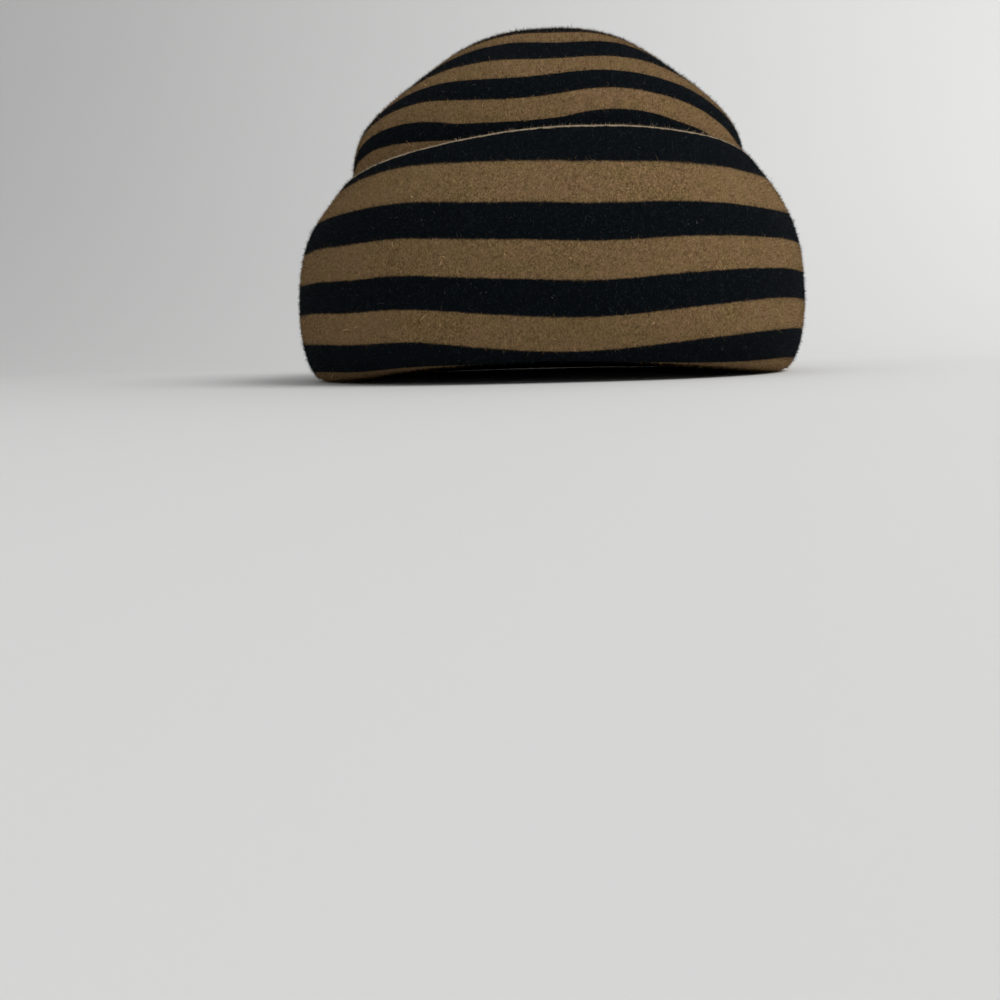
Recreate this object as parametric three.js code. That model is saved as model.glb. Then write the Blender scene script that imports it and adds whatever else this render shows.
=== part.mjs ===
import * as THREE from 'three';

// A soft felt hat: a round crown and a deep brim that is folded up all round.
// Millimetres. X runs across the head, the front faces -Y, and Z is up from the resting plane.

// Driving dimensions
const FELT_THICKNESS = 2.4;
const FRONT_SQUARENESS = 2.25; // the plan's power: 2 is an ellipse, more is squarer
const BACK_SQUARENESS = 2.06;
const SEAT_GAP = 0.3;

const SWEATBAND = { bottom: 15, top: 42, thickness: 0.9 };
const LABEL = { bottom: 47, top: 71, width: 17, angle: -153, thickness: 0.6 };

const COLOURS = { felt: '#5c4a35', ribbon: '#101316', label: '#8d8f8c' };

// Mesh resolution
const STEPS_AROUND = 72;
const STEPS_PER_SECTION = 3;
const SWEATBAND_ROWS = 2;
const LABEL_ROWS = 3;
const LABEL_COLUMNS = 4;
const NORMAL_STEP = { along: 0.01, angle: 1 };
const HALVINGS = 40;

// Sections of the felt's middle layer, in order from the crown tip, down to the fold and up the brim.
// "longer" is how much the half length exceeds the half width: the crown is a head oval, the brim rounder.
const SECTIONS = [
  { place: 'crown tip', halfWidth: 0, longer: 0, height: 135.6 },
  { place: 'crown top', halfWidth: 34, longer: 7, height: 133.2 },
  { place: 'crown shoulder', halfWidth: 61.2, longer: 13, height: 117.9 },
  { place: 'crown upper side', halfWidth: 77.8, longer: 16.5, height: 99 },
  { place: 'crown side', halfWidth: 81.3, longer: 17.5, height: 72.5 },
  { place: 'head line', halfWidth: 83.6, longer: 17.5, height: 29.5 },
  { place: 'fold inside', halfWidth: 86, longer: 17, height: 9 },
  { place: 'fold inner flat', halfWidth: 90.4, longer: 16.2, height: 1 },
  { place: 'fold outer flat', halfWidth: 98.5, longer: 14.8, height: 1 },
  { place: 'fold outside', halfWidth: 103.3, longer: 13.8, height: 8.6 },
  { place: 'brim bulge', halfWidth: 105.4, longer: 13, height: 29 },
  { place: 'brim upper', halfWidth: 100.4, longer: 14.2, height: 57 },
  { place: 'brim edge', halfWidth: 84.8, longer: 16.8, height: 80 },
];

// Where the hand-shaped felt leaves the even oval. Angles are degrees from the front, positive to +X.
// "reach" counts sections along the felt, "spread" degrees around, "out" and "up" are millimetres.
const SHAPING = [
  { change: 'fold arched in front', at: 'fold outer flat', reach: 3.6, angle: 0, spread: 86, out: 0, up: 9 },
  { change: 'fold pressed in', at: 'fold outside', reach: 1.4, angle: 2, spread: 26, out: -2.5, up: 0 },
  { change: 'brim higher in front', at: 'brim edge', reach: 2.2, angle: 6, spread: 115, out: -1.2, up: 5.5 },
  { change: 'brim fuller in front', at: 'brim upper', reach: 1.3, angle: 10, spread: 75, out: 1.8, up: 0 },
  { change: 'brim lower aside', at: 'brim edge', reach: 1.8, angle: -51, spread: 60, out: 0.8, up: -5 },
  { change: 'brim off the crown', at: 'brim edge', reach: 1.2, angle: -34, spread: 30, out: 1.6, up: 0 },
  { change: 'brim fuller behind', at: 'brim upper', reach: 1.6, angle: 150, spread: 60, out: 1.2, up: 0 },
  { change: 'crown lower', at: 'crown shoulder', reach: 1.6, angle: -75, spread: 75, out: -4.1, up: -3.4 },
  { change: 'crown leans in', at: 'crown shoulder', reach: 1.6, angle: 82, spread: 70, out: -6.6, up: -2.8 },
  { change: 'crown dimple', at: 'crown shoulder', reach: 0.9, angle: 8, spread: 24, out: -2.2, up: -0.6 },
  { change: 'hollow behind', at: 'crown shoulder', reach: 1.3, angle: -165, spread: 50, out: -2, up: -1 },
];

const LAST_SECTION = SECTIONS.length - 1;
const SECTION_NUMBER = new Map(SECTIONS.map((section, number) => [section.place, number]));

const feltProfile = new THREE.CatmullRomCurve3(
  SECTIONS.map((section) => new THREE.Vector3(section.halfWidth, section.longer, section.height)),
  false,
  'centripetal',
);

// A smooth hump: 1 at zero, falling to 0 at plus and minus one.
function hump(x) {
  return Math.abs(x) < 1 ? 0.5 + 0.5 * Math.cos(Math.PI * x) : 0;
}

function degreesBetween(a, b) {
  return THREE.MathUtils.euclideanModulo(a - b + 180, 360) - 180;
}

// A point of the felt's middle layer: "along" counts sections from the crown tip, "angle" is in degrees.
function feltMiddle(along, angle) {
  const profile = feltProfile.getPoint(along / LAST_SECTION);
  const side = Math.sin(THREE.MathUtils.degToRad(angle));
  const front = Math.cos(THREE.MathUtils.degToRad(angle));
  const power = THREE.MathUtils.lerp(BACK_SQUARENESS, FRONT_SQUARENESS, (1 + front) / 2);
  const scale = (Math.abs(side) ** power + Math.abs(front) ** power) ** (-1 / power);
  let halfWidth = profile.x;
  let height = profile.z;
  for (const row of SHAPING) {
    const share = hump((along - SECTION_NUMBER.get(row.at)) / row.reach)
      * hump(degreesBetween(angle, row.angle) / row.spread);
    halfWidth += share * row.out;
    height += share * row.up;
  }
  const halfLength = halfWidth + profile.y;
  return new THREE.Vector3(side * scale * halfWidth, -front * scale * halfLength, height);
}

// The direction that points out of the crown, and on the brim from its middle layer toward the crown.
function feltNormal(along, angle) {
  if (along === 0) return new THREE.Vector3(0, 0, 1);
  const ahead = feltMiddle(Math.min(along + NORMAL_STEP.along, LAST_SECTION), angle);
  const behind = feltMiddle(along - NORMAL_STEP.along, angle);
  const right = feltMiddle(along, angle + NORMAL_STEP.angle);
  const left = feltMiddle(along, angle - NORMAL_STEP.angle);
  return ahead.sub(behind).cross(right.sub(left)).normalize();
}

// A point at a distance from the middle layer. The felt lies flat where it meets the resting plane.
function feltPoint(along, angle, distance) {
  const point = feltMiddle(along, angle).addScaledVector(feltNormal(along, angle), distance);
  point.z = Math.max(point.z, 0);
  return point;
}

// Where along the crown the felt's middle layer is at a given height, at the side of the head.
function crownAtHeight(height) {
  let low = 0;
  let high = SECTION_NUMBER.get('fold inside');
  for (let i = 0; i < HALVINGS; i += 1) {
    const middle = (low + high) / 2;
    if (feltProfile.getPoint(middle / LAST_SECTION).z > height) low = middle;
    else high = middle;
  }
  return (low + high) / 2;
}

function lerpList(from, to, steps) {
  return Array.from({ length: steps + 1 }, (_, i) => from + ((to - from) * i) / steps);
}

// A closed mesh from points and faces given as loops of three or four point numbers.
function meshFromFaces(name, points, faces, material) {
  const triangles = faces.flatMap(([a, b, c, d]) => (d === undefined ? [a, b, c] : [a, b, c, a, c, d]));
  const geometry = new THREE.BufferGeometry();
  geometry.setAttribute('position', new THREE.Float32BufferAttribute(points.flatMap((p) => p.toArray()), 3));
  geometry.setIndex(triangles);
  geometry.computeVertexNormals();
  const mesh = new THREE.Mesh(geometry, material);
  mesh.name = name;
  return mesh;
}

function cloth(color) {
  return new THREE.MeshStandardMaterial({ color, roughness: 0.95, metalness: 0 });
}

// Crown and brim: one felt wall, from the tip down the outside of the crown, round the fold,
// up to the cut edge, and back along its other face to the inside of the tip.
function makeFeltBody() {
  const stops = lerpList(0, LAST_SECTION, LAST_SECTION * STEPS_PER_SECTION);
  const rings = [
    ...stops.slice(1).map((along) => ({ along, distance: FELT_THICKNESS / 2 })),
    ...stops.slice(1).reverse().map((along) => ({ along, distance: -FELT_THICKNESS / 2 })),
  ];
  const angles = lerpList(0, 360, STEPS_AROUND).slice(0, -1);
  const points = rings.flatMap((ring) => angles.map((angle) => feltPoint(ring.along, angle, ring.distance)));
  const outerTip = points.push(feltPoint(0, 0, FELT_THICKNESS / 2)) - 1;
  const innerTip = points.push(feltPoint(0, 0, -FELT_THICKNESS / 2)) - 1;
  const faces = [];
  for (let j = 0; j < STEPS_AROUND; j += 1) {
    const next = (j + 1) % STEPS_AROUND;
    faces.push([outerTip, j, next]);
    for (let i = 0; i < rings.length - 1; i += 1) {
      const row = i * STEPS_AROUND;
      const below = row + STEPS_AROUND;
      faces.push([row + j, below + j, below + next, row + next]);
    }
    const last = (rings.length - 1) * STEPS_AROUND;
    faces.push([innerTip, last + next, last + j]);
  }
  return meshFromFaces('felt_body', points, faces, cloth(COLOURS.felt));
}

// A thin ribbon inside the head opening, laid against the felt with a small gap.
function makeSweatband() {
  const near = FELT_THICKNESS / 2 + SEAT_GAP;
  const far = near + SWEATBAND.thickness;
  const stops = lerpList(crownAtHeight(SWEATBAND.top), crownAtHeight(SWEATBAND.bottom), SWEATBAND_ROWS);
  const rings = [
    ...stops.map((along) => ({ along, distance: -near })),
    ...stops.slice().reverse().map((along) => ({ along, distance: -far })),
  ];
  const angles = lerpList(0, 360, STEPS_AROUND).slice(0, -1);
  const points = rings.flatMap((ring) => angles.map((angle) => feltPoint(ring.along, angle, ring.distance)));
  const faces = [];
  for (let j = 0; j < STEPS_AROUND; j += 1) {
    const next = (j + 1) % STEPS_AROUND;
    for (let i = 0; i < rings.length; i += 1) {
      const row = i * STEPS_AROUND;
      const below = ((i + 1) % rings.length) * STEPS_AROUND;
      faces.push([row + j, below + j, below + next, row + next]);
    }
  }
  return meshFromFaces('sweatband', points, faces, cloth(COLOURS.ribbon));
}

// A small plain patch on the inside of the crown, at the back.
function makeLabel() {
  const near = FELT_THICKNESS / 2 + SEAT_GAP;
  const far = near + LABEL.thickness;
  const stops = lerpList(crownAtHeight(LABEL.top), crownAtHeight(LABEL.bottom), LABEL_ROWS);
  const middle = feltPoint(stops[0], LABEL.angle, -far);
  const halfAngle = THREE.MathUtils.radToDeg(LABEL.width / 2 / Math.hypot(middle.x, middle.y));
  const angles = lerpList(LABEL.angle - halfAngle, LABEL.angle + halfAngle, LABEL_COLUMNS);
  const row = (along, distance) => angles.map((angle) => feltPoint(along, angle, -distance));
  const layer = (distance) => stops.flatMap((along) => row(along, distance));
  const points = [...layer(near), ...layer(far)];
  const wide = angles.length;
  const perLayer = stops.length * wide;
  const faces = [];
  for (let i = 0; i < LABEL_ROWS; i += 1) {
    for (let j = 0; j < LABEL_COLUMNS; j += 1) {
      const corner = i * wide + j;
      const back = [corner, corner + wide, corner + wide + 1, corner + 1];
      faces.push(back, back.map((number) => number + perLayer).reverse());
    }
  }
  const rim = [
    ...lerpList(0, LABEL_COLUMNS, LABEL_COLUMNS),
    ...lerpList(1, LABEL_ROWS, LABEL_ROWS - 1).map((number) => number * wide + LABEL_COLUMNS),
    ...lerpList(LABEL_COLUMNS - 1, 0, LABEL_COLUMNS - 1).map((column) => LABEL_ROWS * wide + column),
    ...lerpList(LABEL_ROWS - 1, 1, LABEL_ROWS - 2).map((number) => number * wide),
  ];
  rim.forEach((a, k) => {
    const b = rim[(k + 1) % rim.length];
    faces.push([a, b, b + perLayer, a + perLayer]);
  });
  return meshFromFaces('label', points, faces, cloth(COLOURS.label));
}

const hat = new THREE.Group();
hat.add(makeFeltBody(), makeSweatband(), makeLabel());

// The middle of the hat's box stands over the origin.
const middle = new THREE.Box3().setFromObject(hat).getCenter(new THREE.Vector3());
hat.position.set(-middle.x, -middle.y, 0);

export default hat;
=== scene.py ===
# %% [markdown]
# # A striped felt hat
# The hat is one blocked piece of wool felt. It starts at the crown tip, runs down to a fold, turns
# up all round as a deep brim, and ends in a cut edge that leans back against the crown. A ribbon
# sweatband and a small bare label are sewn inside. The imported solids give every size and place, so
# each piece here is made in their frame, in metres, and then stands in for its solid.

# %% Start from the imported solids
import math

import bmesh
import bpy
import numpy as np
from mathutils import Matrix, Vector, noise
from mathutils.bvhtree import BVHTree


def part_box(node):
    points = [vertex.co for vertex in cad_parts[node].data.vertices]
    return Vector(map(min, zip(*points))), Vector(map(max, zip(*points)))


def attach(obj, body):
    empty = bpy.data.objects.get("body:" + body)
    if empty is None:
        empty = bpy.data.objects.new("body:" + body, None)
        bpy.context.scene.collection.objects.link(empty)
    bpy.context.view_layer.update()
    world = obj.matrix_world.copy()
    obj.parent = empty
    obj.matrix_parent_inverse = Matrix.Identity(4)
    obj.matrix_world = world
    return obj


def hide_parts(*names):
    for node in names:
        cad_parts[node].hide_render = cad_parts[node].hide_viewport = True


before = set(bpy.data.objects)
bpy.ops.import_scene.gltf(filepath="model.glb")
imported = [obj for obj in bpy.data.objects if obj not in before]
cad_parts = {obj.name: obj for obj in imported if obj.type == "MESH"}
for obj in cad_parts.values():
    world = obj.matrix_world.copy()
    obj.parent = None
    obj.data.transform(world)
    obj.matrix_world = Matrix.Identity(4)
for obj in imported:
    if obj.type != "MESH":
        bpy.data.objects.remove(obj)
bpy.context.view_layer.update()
MM = 0.001


def table(columns, rows):
    """Makes each row of values a dict with the names of the columns."""
    return [dict(zip(columns.split(), row)) for row in rows]


# %% [markdown]
# ## The camera
# The camera is placed first, because every later choice is judged through it. It is close in front
# of the hat and just above the floor, so that it looks up at the brim and under the arch of the
# fold. The front is then large and the back falls away. The camera leans a little, and the hat
# stands in the upper part of the frame.

# %% Camera
CAMERA_PLACE = (0.0, -0.462, 0.013)
CAMERA_DOWN_DEG = 8.6
CAMERA_LEAN_DEG = 1.4
CAMERA_LEFT_DEG = 2.75
CAMERA_LENS_MM = 36.8
CAMERA_NEAR = 5 * MM


def add_camera():
    bpy.ops.object.camera_add(
        location=CAMERA_PLACE,
        rotation=tuple(map(math.radians, (90 - CAMERA_DOWN_DEG, CAMERA_LEAN_DEG, CAMERA_LEFT_DEG))),
    )
    camera = bpy.context.object
    camera.data.lens = CAMERA_LENS_MM
    camera.data.clip_start = CAMERA_NEAR
    bpy.context.scene.camera = camera
    return camera


bpy.ops.object.select_all(action="DESELECT")
camera = add_camera()
print("camera at", tuple(round(c, 3) for c in camera.location), "lens", camera.data.lens)

# %% [markdown]
# ## Small helpers for materials
# A material is a chain of nodes. These helpers add a node with its settings and join sockets, so
# that the recipes below read as lists of steps. A number that is the same all over the surface is
# set on the shader's own socket.


# %% Node helpers
def add_node(tree, kind, values=None, **settings):
    node = tree.nodes.new(kind)
    for name, value in settings.items():
        setattr(node, name, value)
    for name, value in (values or {}).items():
        node.inputs[name].default_value = value
    return node


def join(tree, *pairs):
    for output, entry in pairs:
        tree.links.new(output, entry)


def new_material(name, **shader_values):
    material = bpy.data.materials.new(name)
    material.use_nodes = True
    shader = material.node_tree.nodes["Principled BSDF"]
    for socket, value in shader_values.items():
        shader.inputs[socket.replace("_", " ")].default_value = value
    return material, material.node_tree, shader


def new_group(name, inputs, outputs):
    group = bpy.data.node_groups.new(name, "ShaderNodeTree")
    for way, sockets in (("INPUT", inputs), ("OUTPUT", outputs)):
        for socket in sockets:
            group.interface.new_socket(socket, in_out=way, socket_type="NodeSocketFloat")
    return group, group.nodes.new("NodeGroupInput"), group.nodes.new("NodeGroupOutput")


def math_node(tree, operation, *values):
    node = add_node(tree, "ShaderNodeMath", operation=operation)
    for entry, value in zip(node.inputs, values):
        if isinstance(value, bpy.types.NodeSocket):
            tree.links.new(value, entry)
        else:
            entry.default_value = value
    return node.outputs[0]


print("node helpers ready")

# %% [markdown]
# ## Floor, wall and light
# A photographer's sweep is one sheet that curves up from floor to wall, so no line shows behind the
# hat. It is a plane whose back edge is extruded upward and whose corner is bevelled wide. Its paper
# carries a painted shade: its colour is darker on the left, where less lamp light reaches it, and
# lighter on the right. The light is soft: a large lamp above and to the right, a weaker one on the
# left, and a pale sky all round.

# %% The sweep
FLOOR_DROP = 0.2 * MM
SWEEP = dict(front=-6.0, back=1.0, half_width=6.0, height=2.2, curve=0.75, curve_steps=24)
NEAR = 0.01


def add_sweep():
    bpy.ops.object.select_all(action="DESELECT")
    bpy.ops.mesh.primitive_plane_add(size=2, location=(0, 0, -FLOOR_DROP))
    sweep = bpy.context.object
    sweep.name = "sweep"
    bpy.ops.object.mode_set(mode="EDIT")
    depth = (SWEEP["back"] - SWEEP["front"]) / 2
    bpy.ops.transform.resize(value=(SWEEP["half_width"], depth, 1))
    bpy.ops.transform.translate(value=(0, SWEEP["back"] - depth, 0))
    bpy.ops.object.mode_set(mode="OBJECT")
    select_edges(sweep, lambda a, b: min(a.y, b.y) > SWEEP["back"] - NEAR)
    bpy.ops.object.mode_set(mode="EDIT")
    bpy.ops.mesh.extrude_region_move(TRANSFORM_OT_translate={"value": (0, 0, SWEEP["height"])})
    bpy.ops.object.mode_set(mode="OBJECT")
    select_edges(sweep, lambda a, b: min(a.y, b.y) > SWEEP["back"] - NEAR and max(a.z, b.z) < NEAR)
    bpy.ops.object.mode_set(mode="EDIT")
    bpy.ops.mesh.bevel(offset=SWEEP["curve"], segments=SWEEP["curve_steps"])
    bpy.ops.mesh.select_all(action="SELECT")
    bpy.ops.mesh.normals_make_consistent(inside=False)
    bpy.ops.object.mode_set(mode="OBJECT")
    bpy.ops.object.transform_apply(location=True, rotation=True, scale=True)
    bpy.ops.object.shade_smooth()
    return sweep


def select_edges(piece, wanted):
    """Selects the edges whose two end points, as the piece stands, pass the test."""
    mesh, place = piece.data, piece.matrix_world
    for part in (mesh.vertices, mesh.edges, mesh.polygons):
        part.foreach_set("select", np.zeros(len(part), bool))
    for edge in mesh.edges:
        a, b = (place @ mesh.vertices[i].co for i in edge.vertices)
        edge.select = wanted(a, b)
        if edge.select:
            for i in edge.vertices:
                mesh.vertices[i].select = True


sweep = add_sweep()
print("sweep faces:", len(sweep.data.polygons))

# %% The sweep's finish: matt paper with a painted shade, darker on the left and lighter on the right, with a trace of unevenness
# Painted shade: the paper's colour runs from darker on the left to lighter on the right, for the lamp
# light that falls off across the sweep.
PAPER_SHADED_LEFT, PAPER_LIT_RIGHT = (0.62, 0.62, 0.608), (0.87, 0.87, 0.86)
PAINTED_SHADE_FROM, PAINTED_SHADE_TO = -0.75, 0.65
PAPER_CLOUDS = 0.15
material, tree, shader = new_material("paper_with_painted_shade", Roughness=0.85)
spot = add_node(tree, "ShaderNodeTexCoord")
apart = add_node(tree, "ShaderNodeSeparateXYZ")
across = add_node(tree, "ShaderNodeMapRange", {"From Min": PAINTED_SHADE_FROM, "From Max": PAINTED_SHADE_TO})
cloud = add_node(tree, "ShaderNodeTexNoise", {"Scale": 2.5, "Detail": 4.0, "Roughness": 0.55})
cloudy = math_node(tree, "MULTIPLY_ADD", cloud.outputs["Fac"], PAPER_CLOUDS, across.outputs["Result"])
# This mix paints the shade gradient into the paper's colour, darker to the left and lighter to the right.
tint = add_node(tree, "ShaderNodeMix", data_type="RGBA")
tint.inputs[6].default_value = (*PAPER_SHADED_LEFT, 1)
tint.inputs[7].default_value = (*PAPER_LIT_RIGHT, 1)
join(
    tree,
    (spot.outputs["Object"], apart.inputs[0]),
    (apart.outputs["X"], across.inputs["Value"]),
    (spot.outputs["Object"], cloud.inputs["Vector"]),
    (cloudy, tint.inputs[0]),
    (tint.outputs[2], shader.inputs["Base Color"]),
)
sweep.data.materials.append(material)
print("finish:", material.name)

# %% Lamps and sky
LAMP_AIM = (0, 0, 0.06)
LAMPS = [
    dict(name="window", place=(1.25, -0.75, 1.55), size=1.3, watts=27.0, tint=(1.0, 0.99, 0.985)),
    dict(name="bounce", place=(-1.5, -0.9, 0.9), size=1.4, watts=2.7, tint=(0.95, 0.98, 1.0)),
]
SKY_TINT, SKY_STRENGTH = (0.96, 0.985, 1.0, 1), 0.37


def add_lamp(row):
    way = Vector(LAMP_AIM) - Vector(row["place"])
    turn = way.to_track_quat("-Z", "Y").to_euler()
    bpy.ops.object.light_add(type="AREA", location=row["place"], rotation=turn)
    lamp = bpy.context.object
    lamp.name = row["name"]
    lamp.data.size = row["size"]
    lamp.data.energy = row["watts"]
    lamp.data.color = row["tint"]
    return lamp


lamps = [add_lamp(row) for row in LAMPS]
world = bpy.data.worlds.new("soft_sky")
world.use_nodes = True
world.node_tree.nodes["Background"].inputs["Color"].default_value = SKY_TINT
world.node_tree.nodes["Background"].inputs["Strength"].default_value = SKY_STRENGTH
bpy.context.scene.world = world
bpy.context.scene.view_settings.view_transform = "Standard"
print("lamps:", [lamp.name for lamp in lamps])

# %% [markdown]
# ## The felt, ring by ring
# A hat maker steams a felt cone over a block. Here the blocked form is a stack of oval rings: a
# circle is added at the brim's cut edge, then extruded and scaled from one stop to the next, down
# the brim, round the fold and up the crown to its tip. The table has the same sections as the
# solid, in millimetres. A smooth curve through them gives the rings in between, which a subdivision
# surface over the bare sections would round off.

# %% The felt's sections
FELT_THICKNESS = 2.4
RIM_CREASE = 0.6
FRONT_SQUARENESS, BACK_SQUARENESS = 2.25, 2.06
SECTIONS = table("place half_width longer height", [
    ("crown tip", 0, 0, 135.6),
    ("crown top", 34, 7, 133.2),
    ("crown shoulder", 61.2, 13, 117.9),
    ("crown upper side", 77.8, 16.5, 99),
    ("crown side", 81.3, 17.5, 72.5),
    ("head line", 83.6, 17.5, 29.5),
    ("fold inside", 86, 17, 9),
    ("fold inner flat", 90.4, 16.2, 1),
    ("fold outer flat", 98.5, 14.8, 1),
    ("fold outside", 103.3, 13.8, 8.6),
    ("brim bulge", 105.4, 13, 29),
    ("brim upper", 100.4, 14.2, 57),
    ("brim edge", 84.8, 16.8, 80),
])
SECTION_NUMBER = {row["place"]: number for number, row in enumerate(SECTIONS)}
LAST_SECTION = len(SECTIONS) - 1


def felt_profile(along):
    """Half width, extra half length and height of the felt's middle layer, by a centripetal spline."""
    points = np.array([[row["half_width"], row["longer"], row["height"]] for row in SECTIONS], float)
    points = np.vstack([2 * points[0] - points[1], points, 2 * points[-1] - points[-2]])
    start = min(int(along), LAST_SECTION - 1)
    a, b, c, d = points[start:start + 4]
    before, span, after = (np.linalg.norm(q - p) ** 0.5 for p, q in ((a, b), (b, c), (c, d)))
    leave = ((b - a) / before - (c - a) / (before + span) + (c - b) / span) * span
    arrive = ((c - b) / span - (d - b) / (span + after) + (d - c) / after) * span
    t = along - start
    bend = 3 * (c - b) - 2 * leave - arrive
    twist = 2 * (b - c) + leave + arrive
    return b + leave * t + bend * t**2 + twist * t**3


def oval(along):
    """Half width, half length and height of a ring, in metres."""
    half_width, longer, height = felt_profile(along) * MM
    return half_width, half_width + longer, height


print("brim bulge ring:", [round(v / MM, 1) for v in oval(SECTION_NUMBER["brim bulge"])])

# %% Rings from the cut edge to the tip
AROUND = 144
ROWS_PER_SECTION = 5
LOWEST_COUNTS = 1e6
STOPS = np.linspace(LAST_SECTION, 0, LAST_SECTION * ROWS_PER_SECTION + 1)


def extrude_rings():
    bpy.ops.object.select_all(action="DESELECT")
    bpy.ops.mesh.primitive_circle_add(vertices=AROUND, radius=1, fill_type="NOTHING")
    piece = bpy.context.object
    bpy.ops.object.mode_set(mode="EDIT")
    bpy.ops.mesh.select_all(action="SELECT")
    width, length, height = oval(STOPS[0])
    bpy.ops.transform.resize(value=(width, length, 1))
    bpy.ops.transform.translate(value=(0, 0, height))
    for stop in STOPS[1:-1]:
        wide, long, high = oval(stop)
        bpy.ops.mesh.extrude_region_move(TRANSFORM_OT_translate={"value": (0, 0, high - height)})
        bpy.ops.transform.resize(value=(wide / width, long / length, 1), center_override=(0, 0, high))
        width, length, height = wide, long, high
    bpy.ops.mesh.extrude_region_move(TRANSFORM_OT_translate={"value": (0, 0, oval(0)[2] - height)})
    bpy.ops.mesh.merge(type="CENTER")
    bpy.ops.mesh.select_all(action="SELECT")
    bpy.ops.mesh.normals_make_consistent(inside=False)
    bpy.ops.object.mode_set(mode="OBJECT")
    return piece


def order_number(part):
    """Rises with an edge's or face's lowest point number, and then with the sum of its point numbers."""
    numbers = [point.index for point in part.verts]
    return LOWEST_COUNTS * min(numbers) + sum(numbers)


def settle_order(piece):
    """Sorts edges and faces by their points, because operators leave them in an order that can change."""
    sorted_mesh = bmesh.new()
    sorted_mesh.from_mesh(piece.data)
    for parts in (sorted_mesh.edges, sorted_mesh.faces):
        parts.sort(key=order_number)
    sorted_mesh.to_mesh(piece.data)
    sorted_mesh.free()


def points_of(piece):
    found = np.empty(len(piece.data.vertices) * 3)
    piece.data.vertices.foreach_get("co", found)
    return found.reshape(-1, 3)


def move_points(piece, points):
    piece.data.vertices.foreach_set("co", np.ascontiguousarray(points, np.float32).ravel())
    piece.data.update()


felt = extrude_rings()
felt.name = "felt_hat"
settle_order(felt)
if felt.data.vertices[-1].normal.z < 0:
    felt.data.flip_normals()
RINGS = len(STOPS) - 1
print("felt cage:", len(felt.data.vertices), "points;", [round(v / MM, 1) for v in felt.dimensions], "mm")

# %% [markdown]
# ## Shaped by the listed pushes
# A blocked hat is even, and a worn one isn't. The front of its plan is squarer, the fold arches up
# over the brow, the brim stands higher in front than at one side, and the crown has a dimple and a
# soft hollow. A sculptor would push these in with a broad brush. Here each row of the table is such
# a push: a smooth hump in the direction along the felt and around the head, moving the rings
# outward and up.

# %% Pushes and dents
SHAPING = table("push at reach angle spread out up", [
    ("fold arched in front", "fold outer flat", 3.6, 0, 86, 0, 9),
    ("fold pressed in", "fold outside", 1.4, 2, 26, -2.5, 0),
    ("brim higher in front", "brim edge", 2.2, 6, 115, -1.2, 5.5),
    ("brim fuller in front", "brim upper", 1.3, 10, 75, 1.8, 0),
    ("brim lower aside", "brim edge", 1.8, -51, 60, 0.8, -5),
    ("brim off the crown", "brim edge", 1.2, -34, 30, 1.6, 0),
    ("brim fuller behind", "brim upper", 1.6, 150, 60, 1.2, 0),
    ("crown lower", "crown shoulder", 1.6, -75, 75, -4.1, -3.4),
    ("crown leans in", "crown shoulder", 1.6, 82, 70, -6.6, -2.8),
    ("crown dimple", "crown shoulder", 0.9, 8, 24, -2.2, -0.6),
    ("hollow behind", "crown shoulder", 1.3, -165, 50, -2, -1),
])


def hump(x):
    """1 at zero, falling smoothly to 0 at plus and minus one."""
    return np.where(np.abs(x) < 1, 0.5 + 0.5 * np.cos(np.pi * np.clip(x, -1, 1)), 0)


def turn_between(a, b):
    return (a - b + 180) % 360 - 180


def shape_by_hand(piece):
    """Moves each ring's points, and returns each point's angle from the front."""
    points = points_of(piece) / MM
    along = np.append(np.repeat(STOPS[:-1], AROUND), 0)
    half_width, longer, height = np.array([felt_profile(stop) for stop in along]).T
    side = points[:, 0] / np.maximum(half_width, 1e-6)
    front = -points[:, 1] / np.maximum(half_width + longer, 1e-6)
    angle = np.degrees(np.arctan2(side, front))
    power = BACK_SQUARENESS + (FRONT_SQUARENESS - BACK_SQUARENESS) * (1 + front) / 2
    square = (np.abs(side) ** power + np.abs(front) ** power + 1e-12) ** (-1 / power)
    square[-1] = 0
    for row in SHAPING:
        share = hump((along - SECTION_NUMBER[row["at"]]) / row["reach"])
        share = share * hump(turn_between(angle, row["angle"]) / row["spread"])
        half_width = half_width + share * row["out"]
        height = height + share * row["up"]
    x = side * square * half_width
    y = -front * square * (half_width + longer)
    move_points(piece, np.stack([x, y, height], 1) * MM)
    return angle


angle_round = shape_by_hand(felt)
print("shaped:", [round(v / MM, 1) for v in felt.dimensions], "mm")

# %% [markdown]
# ## Wall, stripes and fine rings
# The middle layer becomes a wall with Solidify, half the thickness to each side, and lies flat
# where it meets the floor. Before the mesh is subdivided, each point is told which stripe it lies
# in. A stripe number is a better guide than a picture: it follows the felt round the fold, whole
# numbers are the borders between black and camel, and it can be read by the material and by the
# fibres alike. The felt's two faces are told apart as well: one is the brim's outside and, past the
# fold, the inside of the hat, which is all black.


# %% Wall
def apply_modifiers(piece):
    bpy.ops.object.select_all(action="DESELECT")
    piece.select_set(True)
    bpy.context.view_layer.objects.active = piece
    for name in [modifier.name for modifier in piece.modifiers]:
        bpy.ops.object.modifier_apply(modifier=name)


def give_thickness(piece, millimetres, crease=0.0):
    wall = piece.modifiers.new("wall", "SOLIDIFY")
    wall.thickness = millimetres * MM
    wall.offset = 0
    wall.use_even_offset = True
    wall.edge_crease_outer = wall.edge_crease_inner = crease
    apply_modifiers(piece)


def face_outwards():
    """Turns the faces of the piece that is active outwards."""
    bpy.ops.object.mode_set(mode="EDIT")
    bpy.ops.mesh.select_all(action="SELECT")
    bpy.ops.mesh.normals_make_consistent(inside=False)
    bpy.ops.object.mode_set(mode="OBJECT")


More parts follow.
